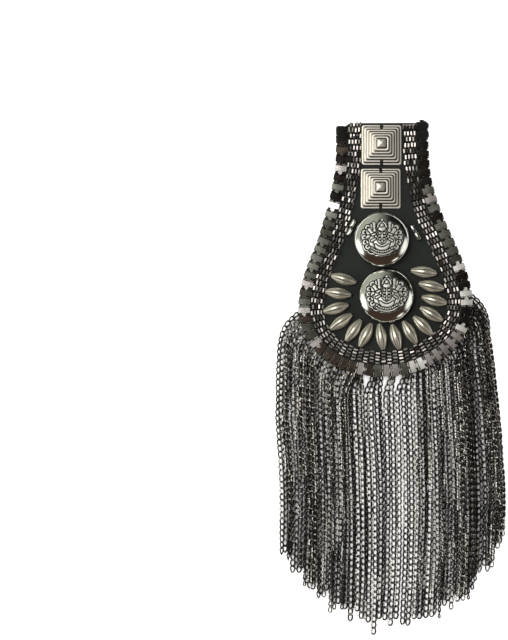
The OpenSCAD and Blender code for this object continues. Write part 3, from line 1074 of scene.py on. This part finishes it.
def tube_model(ornament, width):
    """A short tube bead along X with rounded rims."""
    long, hole, radius = ornament.tube_length / 2, ornament.thread_hole / 2, width / 2
    around = np.linspace(0, 2 * math.pi, 28, endpoint=False)
    bevel, soft = 0.1 * MM, 0.25 * MM
    outline = [(hole, 0.3 * long), (hole, long - bevel), (hole + bevel, long), (radius - soft, long),
               (radius - 0.3 * soft, long - 0.3 * soft), (radius, long - soft), (0.97 * radius, 0)]
    outline += [(r, -x) for r, x in outline[-2::-1]]
    tube = ringed([ring_along(x, r, around) for r, x in outline], [0] * len(outline))
    outward(tube)
    return Model(tube)


def tube_pieces(ornament, material):
    low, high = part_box("tube_bead_1")
    model = tube_model(ornament, high.z - low.z)
    for name, degrees in TUBE_TURNS.items():
        place = Matrix.Translation(centre_of(name)) @ Matrix.Rotation(math.radians(degrees), 4, "Z")
        finish(copies(model, [place]), f"{name}_rounded", material, [name], angle=50)


# The fringe

class Chain:
    """One hanging chain: its hook under the pad, and the points that it lies along.

    From the hook it sets off outwards and swings down to its column, whose place across
    column(y) gives, and it follows that to its end. It lies over that many layers of chains,
    and its hook is at the height lift. Its links are turned on edge by turned degrees, the more
    unevenly the nearer loose is to 1.
    """

    def __init__(self, hook, outwards, column, end, layer, lift, fringe, seed, loose, turned):
        self.rng = random.Random(seed)
        self.fringe = fringe
        self.loose = loose
        self.turned = turned
        self.under = layer * fringe.layer + 0.05 * MM
        rest = fringe.twist / 2 + fringe.wire / 2 + self.under
        join_y = hook[1] - 1.1 * abs(column(hook[1] - 8 * MM) - hook[0]) - 9 * MM
        join = np.array([column(join_y), join_y])
        start = np.array(hook)
        reach = 0.45 * np.linalg.norm(join - start)
        a = start + np.array(outwards) * reach * 0.8
        b = join + np.array([0, reach])
        points = []
        for f in np.linspace(0, 1, 24):
            p = (1 - f) ** 3 * start + 3 * f * (1 - f) ** 2 * a + 3 * f * f * (1 - f) * b + f ** 3 * join
            points.append((*p, rest + (lift - rest) * (1 - f) ** 2.2 * (1 + 2.2 * f) * 0.98))
        for y in np.linspace(join_y, end[1], 40)[1:]:
            wave = noise.noise(Vector((seed * 3.7, y * 38, 0))) * 0.35 * MM
            points.append((column(y) + wave * min(1, (join_y - y) / (15 * MM)), y, rest))
        self.points = np.array(points)

    def height_needed(self, turn):
        """Height of a link's middle over what it lies on, when it is turned by this angle."""
        around = np.radians([0, 15, 30, 45])
        return self.fringe.wire / 2 + np.max(
            self.fringe.half_width * np.cos(around) * abs(math.sin(turn))
            + self.fringe.twist * np.cos(around) * np.sin(around) * abs(math.cos(turn)))

    def places(self):
        """Matrices for the links, from the end up."""
        run = running(self.points)
        at = run[-1] - self.fringe.half_length - self.fringe.wire / 2
        found = []
        roll = self.rng.gauss(0, 5 + 12 * self.loose)
        while at > 0:
            above, p, below = (np.array([np.interp(at + d, run, self.points[:, k]) for k in range(3)])
                               for d in (-1.3 * MM, 0, 1.3 * MM))
            y_axis = Vector(above - below).normalized()
            x_axis = y_axis.cross(Vector((0, 0, 1))).normalized()
            roll = 0.9 * roll + self.rng.gauss(0, 3.5 + 11 * self.loose)
            turn = math.radians(self.turned + roll)
            m = Matrix.Identity(4)
            for k, axis in enumerate((x_axis, y_axis, x_axis.cross(y_axis))):
                m.col[k][:3] = axis
            m.translation = (p[0], p[1], max(p[2], self.height_needed(turn) + self.under))
            found.append(m @ Matrix.Rotation(turn, 4, "Y"))
            at -= self.fringe.pitch
        return found


def station_of(x):
    """Station of the lower hook that is at this place across."""
    upper = HOOK_LINE[:, 1] > 25 * MM
    return HOOK_STATIONS[np.argmin(np.where(upper, np.inf, np.abs(HOOK_LINE[:, 0] - x)))]


def column(x_end, y_end, shift):
    """The place across of a hanging chain, as a function of the place along."""
    x_mid = x_end + shift

    def across(y):
        if y < MID_Y:
            f = (y - MID_Y) / (y_end - MID_Y)
            return x_mid + (x_end - x_mid) * f + 1.2 * MM * math.sin(math.pi * f)
        fan = min((y - MID_Y) / (45 * MM), 1.0)
        return x_mid * (1 - 0.07 * fan ** 1.3 * min(1, abs(x_mid) / (40 * MM))) - 0.04 * (y - MID_Y)
    return across


def side_chains(ends, t_outer, t_inner, fringe, first_seed):
    """Chains of one side, from the outermost in: those on top, and then those between and under them."""
    found = []
    gaps = len(ends) - 1
    for on_top in (True, False):
        for i in range(gaps + on_top):
            x, y = ends[i]
            seed = first_seed + i + (0 if on_top else len(ends))
            own = random.Random(seed)
            if not on_top:
                x = (x + ends[i + 1][0]) / 2
                y = max(y, ends[i + 1][1]) + (0.8 + 2.2 * own.random()) * MM
            inwards = (i if on_top else i + 0.5) / gaps
            t = t_outer + (t_inner - t_outer) * inwards
            x -= math.copysign(1.0 * MM * (1 - inwards), x)
            turned = own.gauss(0, 36) * min(1, 0.3 + 2.5 * inwards)
            found.append(Chain(
                route.beside(t, HOOKS_OUT), route.outwards(t) * 0.9 + np.array([0, -0.5]),
                column(x, y, -2.0 * MM * (1 - inwards) ** 2), (x, y),
                layer=on_top * (1 if inwards < 0.9 else 0.6), lift=(2.45 if on_top else 1.35) * MM,
                fringe=fringe, seed=seed, loose=0.9 - 0.5 * inwards, turned=max(-65, min(65, turned))))
    return found


def middle_chains(ends, fringe, first_seed):
    """Chains of the middle, and then those that lie turned on edge between them."""
    found = []
    for i, (x, shift, hook_x, turned) in enumerate([(*at, 0) for at in MIDDLE_CHAINS] + TURNED_CHAINS):
        x, shift, hook_x = x * MM, shift * MM, hook_x * MM
        y = ends[np.argmin(np.abs(ends[:, 0] - x))][1] + (1.5 * MM if turned else 0)
        hook_y = route.beside(station_of(hook_x), HOOKS_OUT)[1]
        found.append(Chain(
            (hook_x, hook_y), (0, -1), column(x, y, shift), (x, y), layer=0, lift=2.3 * MM,
            fringe=fringe, seed=first_seed + i, loose=0.8 if turned else 0.25, turned=turned))
    return found


def fringe_chains(fringe):
    """All hanging chains, by the CAD part that they belong to."""
    ends = np.array(CHAIN_ENDS) * MM
    left = ends[ends[:, 0] < (MIDDLE_CHAINS[0][0] - 1) * MM]
    right = ends[ends[:, 0] > (MIDDLE_CHAINS[-1][0] + 1) * MM][::-1]
    return {
        "fringe_left": side_chains(left, 7.62, station_of(-15.5 * MM), fringe, 1),
        "fringe_middle": middle_chains(ends, fringe, 1 + 2 * (len(left) + len(right))),
        "fringe_right": side_chains(right, 17.08, station_of(17.0 * MM), fringe, 1 + 2 * len(left)),
    }


def fringe_pieces(fringe, material):
    """The hanging curb chains, link by link, in three pieces."""
    a, b, h = fringe.half_width, fringe.half_length, fringe.twist

    def oval(angle):
        x, y = math.cos(angle), math.sin(angle)
        return a * x, b * y, h * x * y

    link = ring_model(oval, 10, 6, fringe.wire, filed=0.6)
    rng = random.Random(77)
    for node, chains in fringe_chains(fringe).items():
        places = [m for chain in chains for m in chain.places()]
        tones = [rng.uniform(0.3, 0.7) for _ in places]
        finish(copies(link, places, tones), f"{node}_chains", material, [node], angle=45)


# Threads

def plies(points, thickness):
    """Middle lines of the two plies that twist round each other along a run of points."""
    points = np.array(points, float)
    run = running(points)
    at = np.linspace(0, run[-1], max(6, int(run[-1] / (0.2 * MM))))
    line = np.column_stack([np.interp(at, run, points[:, k]) for k in range(3)])
    for _ in range(2):
        line[1:-1] = (line[:-2] + 2 * line[1:-1] + line[2:]) / 4
    way = np.gradient(line, axis=0)
    way /= np.linalg.norm(way, axis=1)[:, None] + 1e-12
    up = np.cross(way, [0.31, 0.2, 0.93])
    up /= np.linalg.norm(up, axis=1)[:, None] + 1e-12
    aside = np.cross(way, up)
    turn = at / (1.1 * MM) * 2 * math.pi
    found = []
    for ply in (0, math.pi):
        off = np.cos(turn + ply)[:, None] * up + np.sin(turn + ply)[:, None] * aside
        found.append(line + off * thickness * 0.25)
    return found


def sewn(name, runs, thickness, material):
    """Black thread along each run of points, in one piece."""
    curve = bpy.data.curves.new(name, "CURVE")
    curve.dimensions = "3D"
    curve.bevel_depth = thickness * 0.28
    curve.bevel_resolution = 0
    curve.use_fill_caps = True
    for line in (ply for points in runs for ply in plies(points, thickness)):
        spline = curve.splines.new("POLY")
        spline.points.add(len(line) - 1)
        spline.points.foreach_set("co", np.column_stack([line, np.ones(len(line))]).ravel())
    select_only(new_object(name, curve))
    bpy.ops.object.convert(target="MESH")
    finish(bpy.context.object, name, material, (), angle=60)


def stud_stitches(ornament):
    """Threads that hold each stud: over its outer steps at the top and bottom edges."""
    runs = []
    thick = ornament.thread
    step = ornament.stud_tread + ornament.stud_riser
    for name in ("stud_upper", "stud_lower"):
        low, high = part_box(name)
        rim = stud_rim(ornament, high.z - low.z)
        first, second = low.z + rim, low.z + rim + ornament.stud_rise
        path = [
            (-0.25 * MM, low.z + 0.1 * MM), (-0.18 * MM, low.z + rim * 0.7), (0.1 * MM, first + thick * 0.4),
            (ornament.stud_tread, first + thick * 0.45), (step, second + thick * 0.4),
            (step + 0.8 * MM, second + thick * 0.3), (step + 0.95 * MM, second - 0.3 * MM)]
        for edge, sign in ((high.y, 1), (low.y, -1)):
            for k in (-2, -1, 0, 1, 2):
                x = (low.x + high.x) / 2 + k * thick * 0.85
                runs.append([(x, edge - sign * inwards, z) for inwards, z in path])
    return runs


def bead_threads(ornament):
    """The thread through each bead, into the leather at both ends."""
    runs = []
    for name, degrees in BEAD_TURNS.items():
        centre = centre_of(name)
        drop = centre.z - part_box(name)[0].z
        way = Vector((math.cos(math.radians(degrees)), math.sin(math.radians(degrees)), 0))
        half = (ornament.spindle_length if name in SPINDLE_TURNS else ornament.tube_length) / 2
        path = [(half + 0.9 * MM, drop + 0.2 * MM), (half + 0.55 * MM, drop * 0.35), (half, 0)]
        path = [(-along, down) for along, down in path] + path[::-1]
        runs.append([centre + way * along - Vector((0, 0, down)) for along, down in path])
    return runs


def chain_stitches(chain):
    """Couching stitches, each over one of the fine chains."""
    runs = []
    low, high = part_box("fine_chain_1")
    top = high.z + 0.12 * MM
    half_up = (low.z + top) / 2
    stations, _, run = route.side(-chain.fine_step * chain.fine_count / 2)
    rng = random.Random(3)
    stitches = 17
    for i in range(stitches):
        t = np.interp((i + rng.uniform(0.3, 0.7)) / stitches * run[-1], run, stations)
        strand = rng.randrange(chain.fine_count)
        a = route.beside(t, -chain.fine_step * strand + 0.1 * MM)
        b = route.beside(t + 0.03, -chain.fine_step * (strand + 1) - 0.1 * MM)
        runs.append([(*a, low.z), (*a, half_up), (*(a * 0.75 + b * 0.25), top),
                     (*(a * 0.25 + b * 0.75), top), (*b, half_up), (*b, low.z)])
    return runs


def corner_wraps():
    """Thread wound into lumps round the chain ends at the collar, and across the fine chains."""
    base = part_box("edge_chain_neck_left")[1].z - 0.5 * MM
    turns = np.linspace(0, math.pi, 11)
    sunk = [1.0, *[0] * (len(turns) - 2), 1.0]
    rng = random.Random(8)
    runs = []
    for x, y, half_x, half_y, swell in WRAPS:
        for _ in range(int(half_y / 0.055)):
            f = rng.uniform(-0.98, 0.98)
            full = (1 - f * f) ** 0.35
            slant = rng.gauss(0, 0.12 * half_y)
            runs.append([
                ((x + half_x * full * math.cos(a)) * MM, (y + half_y * f + slant * math.cos(a)) * MM,
                 base + (swell * full + 0.4) * math.sin(a) * MM - down * MM)
                for a, down in zip(turns, sunk)])
    return runs


# Stage

def camera(stage):
    """Looks straight down, with the photo's pixels at their real size on the pad."""
    photo_w, photo_h = 508, 640
    # Pixel of the photo that shows the frame's origin
    origin_u, origin_v = 389.5, 379.5
    pad_z = 6 * MM
    data = bpy.data.cameras.new("camera")
    data.lens = stage.lens
    data.sensor_width = 36.0
    data.clip_start = 0.05
    data.clip_end = 30.0
    obj = new_object("camera", data)
    away = photo_h * stage.pixel * stage.lens / data.sensor_width
    obj.location = (
        (photo_w / 2 - origin_u) * stage.pixel, (origin_v - photo_h / 2) * stage.pixel, pad_z + away)
    bpy.context.scene.camera = obj


def key_light():
    """A rectangular area light that faces the object and isn't seen by the camera."""
    width, depth, distance, radiance = 0.48, 0.52, 1.15, 3.4
    data = bpy.data.lights.new("key", "AREA")
    data.shape = "RECTANGLE"
    data.size, data.size_y = width, depth
    data.energy = radiance * math.pi * width * depth
    obj = new_object("key", data)
    obj.location = KEY * distance
    obj.rotation_euler = KEY.to_track_quat("Z", "Y").to_euler()
    obj.visible_camera = False


def world():
    """A dark studio, brown at the lower side, with soft lights on its walls."""
    made = bpy.data.worlds.new("studio")
    bpy.context.scene.world = made
    made.use_nodes = True
    sky = Graph(made.node_tree)
    view = sky.node("ShaderNodeTexCoord", {}, {}, "Generated")

    def towards(way, low, high):
        return sky.node("ShaderNodeVectorMath", {"operation": "DOT_PRODUCT"}, {
            0: view, 1: Vector(way).normalized()}, "Value").step(low, high)

    lower_side = towards((0, -1, 0.25), 0.0, 0.9)
    tone = sky.mix(lower_side, rgba((0.010, 0.011, 0.010)), rgba((0.060, 0.036, 0.026)))
    for way, (low, high), radiance in WALL_LIGHTS:
        light = sky.mix(towards(way, low, high), rgba((0, 0, 0)), rgba(radiance))
        tone = sky.mix(1.0, tone, light, "ADD")
    sky.tree.links.new(tone.socket, sky.tree.nodes["Background"].inputs["Color"])


def floor(stage):
    """A wide pale floor, evenly lit like a light table, whose glow is dimmed by a painted shadow where the
    chains lie close over it.
    """
    obj = added(bpy.ops.mesh.primitive_circle_add, vertices=96, radius=4.0, fill_type="NGON",
                location=(0, 0, -0.02 * MM))
    obj.name = "floor"
    s = Shader("pale_floor", Roughness=0.7, Specular_IOR_Level=0.2, Emission_Strength=1.0)
    s.feed(Base_Color=s.mix(s.noise(0.05, 2), rgba(stage.floor), rgba(stage.floor, 0.985)))
    # Painted shadow: occlusion by the chains dims the floor's glow
    open_sky = s.node("ShaderNodeAmbientOcclusion", {"samples": 8}, {"Distance": 12 * MM}, "AO")
    glow = s.mix(open_sky.step(0.12, 0.52), rgba((0.03, 0.03, 0.03)), rgba((1.0, 1.0, 1.0)))
    s.feed(Emission_Color=glow)
    obj.data.materials.append(s.material)


# Operators

class EPAULETTE_OT_stage(bpy.types.Operator):
    """Add the camera, the floor and the soft studio light"""

    bl_idname = "epaulette.stage"
    bl_label = "Stage"

    def execute(self, context):
        stage = context.scene.epaulette_stage
        camera(stage)
        world()
        floor(stage)
        key_light()
        context.scene.view_settings.view_transform = "Standard"
        return {"FINISHED"}


class EPAULETTE_OT_pad(bpy.types.Operator):
    """Model the leather-covered pad"""

    bl_idname = "epaulette.pad"
    bl_label = "Pad"

    def execute(self, context):
        pad = context.scene.epaulette_pad
        black = leather("black_leather", pad.leather, pad.worn)
        finish(pad_piece(pad), "pad_leather", black, ["pad"], angle=60)
        return {"FINISHED"}


class EPAULETTE_OT_edge_chain(bpy.types.Operator):
    """Lay the flat-link chain round the pad"""

    bl_idname = "epaulette.edge_chain"
    bl_label = "Flat-link chain"

    def execute(self, context):
        edge_chain_pieces(context.scene.epaulette_chain, black_nickel("black_nickel"))
        return {"FINISHED"}


class EPAULETTE_OT_fine_chains(bpy.types.Operator):
    """Lay the fine chains side by side"""

    bl_idname = "epaulette.fine_chains"
    bl_label = "Fine chains"

    def execute(self, context):
        chain = context.scene.epaulette_chain
        fine_chain_pieces(chain, plated("fine_chain_gunmetal", chain.fine_colour, 0.20, 0.08, own=0.6))
        return {"FINISHED"}


class EPAULETTE_OT_studs(bpy.types.Operator):
    """Model the two stepped studs"""

    bl_idname = "epaulette.studs"
    bl_label = "Studs"

    def execute(self, context):
        ornament = context.scene.epaulette_ornament
        # The studs' grooves are darkened to this near-black: painted shade
        stud_pieces(ornament, plated(
            "warm_silver", ornament.stud_colour, 0.42, 0.12, painted_shade=(0.02, 0.015, 0.011)))
        return {"FINISHED"}


class EPAULETTE_OT_buttons(bpy.types.Operator):
    """Model the two crested buttons"""

    bl_idname = "epaulette.buttons"
    bl_label = "Buttons"

    def execute(self, context):
        ornament = context.scene.epaulette_ornament
        # The crest's outlines are darkened to the painted-shade colour
        button_pieces(ornament, plated(
            "crested_silver", ornament.button_colour, 0.13, 0.06, painted_shade=ornament.painted_shade_colour, crisp=0.8,
            frosted=((1.0, 0.99, 0.95), 0.36)))
        return {"FINISHED"}


class EPAULETTE_OT_beads(bpy.types.Operator):
    """Model the spindle beads and the tube beads"""

    bl_idname = "epaulette.beads"
    bl_label = "Beads"

    def execute(self, context):
        ornament = context.scene.epaulette_ornament
        # The beads' grooves and ends are darkened to this dark brown: painted shade
        spindle_pieces(ornament, plated(
            "champagne_silver", ornament.spindle_colour, 0.25, 0.08, own=0.2,
            painted_shade=(0.035, 0.022, 0.010), frosted=((1.0, 0.96, 0.84), 0.36)))
        tube_pieces(ornament, plated("bright_tube", ornament.tube_colour, 0.22, 0.06))
        return {"FINISHED"}


class EPAULETTE_OT_fringe(bpy.types.Operator):
    """Hang the curb chains of the fringe"""

    bl_idname = "epaulette.fringe"
    bl_label = "Fringe"

    def execute(self, context):
        fringe = context.scene.epaulette_fringe
        # The wires' sides are darkened to this near-black: painted shade
        fringe_pieces(fringe, plated(
            "fringe_gunmetal", fringe.colour, 0.20, 0.1, own=0.6, painted_shade=(0.025, 0.023, 0.021), crisp=0.3))
        return {"FINISHED"}


class EPAULETTE_OT_threads(bpy.types.Operator):
    """Sew the ornaments and the chains on"""

    bl_idname = "epaulette.threads"
    bl_label = "Threads"

    def execute(self, context):
        ornament = context.scene.epaulette_ornament
        black = thread_finish("black_thread", ornament.thread_colour)
        sewn("stud_stitches", stud_stitches(ornament), ornament.thread, black)
        sewn("bead_threads", bead_threads(ornament), ornament.thread * 0.8, black)
        sewn("chain_stitches", chain_stitches(context.scene.epaulette_chain), ornament.thread * 0.9,
             black)
        sewn("corner_wraps", corner_wraps(), ornament.thread * 1.1, black)
        return {"FINISHED"}


class EPAULETTE_OT_pin(bpy.types.Operator):
    """Finish the bar pin on the back"""

    bl_idname = "epaulette.pin"
    bl_label = "Bar pin"

    def execute(self, context):
        pin = frame["nodes"]["bar_pin"]
        ornament = context.scene.epaulette_ornament
        pin.data.materials.clear()
        pin.data.materials.append(plated("nickel", ornament.pin_colour, 0.25, 0.12))
        return {"FINISHED"}


class EPAULETTE_PT_panel(bpy.types.Panel):
    """Lists the epaulette's pieces"""

    bl_label = "Epaulette"
    bl_idname = "EPAULETTE_PT_panel"
    bl_space_type = "VIEW_3D"
    bl_region_type = "UI"
    bl_category = "Epaulette"

    def draw(self, context):
        for operator in OPERATORS:
            self.layout.operator(operator.bl_idname)


OPERATORS = (
    EPAULETTE_OT_stage, EPAULETTE_OT_pad, EPAULETTE_OT_edge_chain, EPAULETTE_OT_fine_chains,
    EPAULETTE_OT_studs, EPAULETTE_OT_buttons, EPAULETTE_OT_beads, EPAULETTE_OT_fringe,
    EPAULETTE_OT_threads, EPAULETTE_OT_pin,
)
GROUPS = {
    "epaulette_pad": PadSettings, "epaulette_chain": ChainSettings,
    "epaulette_ornament": OrnamentSettings, "epaulette_fringe": FringeSettings,
    "epaulette_stage": StageSettings,
}


def register():
    for cls in (*GROUPS.values(), *OPERATORS, EPAULETTE_PT_panel):
        bpy.utils.register_class(cls)
    for name, group in GROUPS.items():
        setattr(bpy.types.Scene, name, bpy.props.PointerProperty(type=group))


def unregister():
    for name in GROUPS:
        delattr(bpy.types.Scene, name)
    for cls in (EPAULETTE_PT_panel, *reversed(OPERATORS), *GROUPS.values()):
        bpy.utils.unregister_class(cls)


def main():
    register()
    for operator in OPERATORS:
        group, name = operator.bl_idname.split(".")
        getattr(getattr(bpy.ops, group), name)()


if __name__ == "__main__":
    main()
